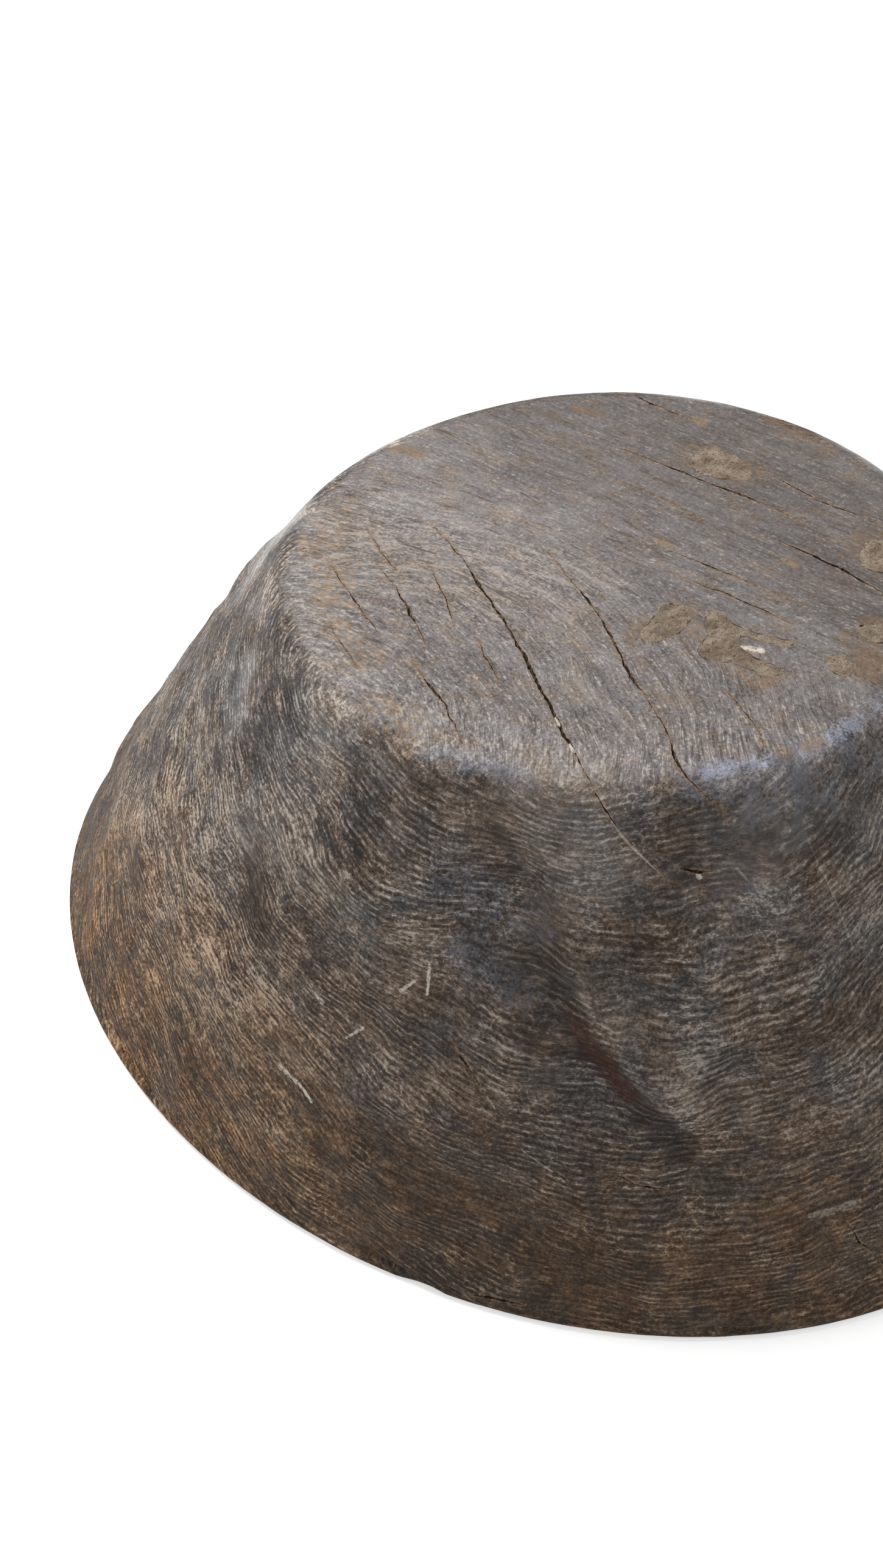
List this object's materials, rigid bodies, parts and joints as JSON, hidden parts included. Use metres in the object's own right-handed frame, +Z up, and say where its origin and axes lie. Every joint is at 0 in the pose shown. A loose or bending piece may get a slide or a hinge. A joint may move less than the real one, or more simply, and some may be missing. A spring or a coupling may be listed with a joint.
{
  "type": "wooden bowl",
  "caption": "Heavy hand-hewn wooden bowl dug out of one block, oval rim, thick sloping walls and a broad flat foot, shown upturned on its rim.",
  "frame": {"origin": "middle of the rim plane, on the surface that the upturned bowl stands on", "axes": "+X along the grain and the long axis of the oval, +Y across it, +Z up from the rim plane to the foot"},
  "size_m": [0.4421, 0.3711, 0.1804],
  "materials": {
    "old_wood": "matte",
    "dried_earth": "matte",
    "pale_grit": "matte"
  },
  "bodies": {
    "root": {"bowl": "old_wood", "earth_centre": "dried_earth", "earth_left": "dried_earth", "earth_far": "dried_earth", "earth_edge": "dried_earth", "earth_right": "dried_earth", "earth_near_right": "dried_earth", "grit_upper": "pale_grit", "grit_lower": "pale_grit", "grit_wall": "pale_grit"}
  },
  "joints": []
}
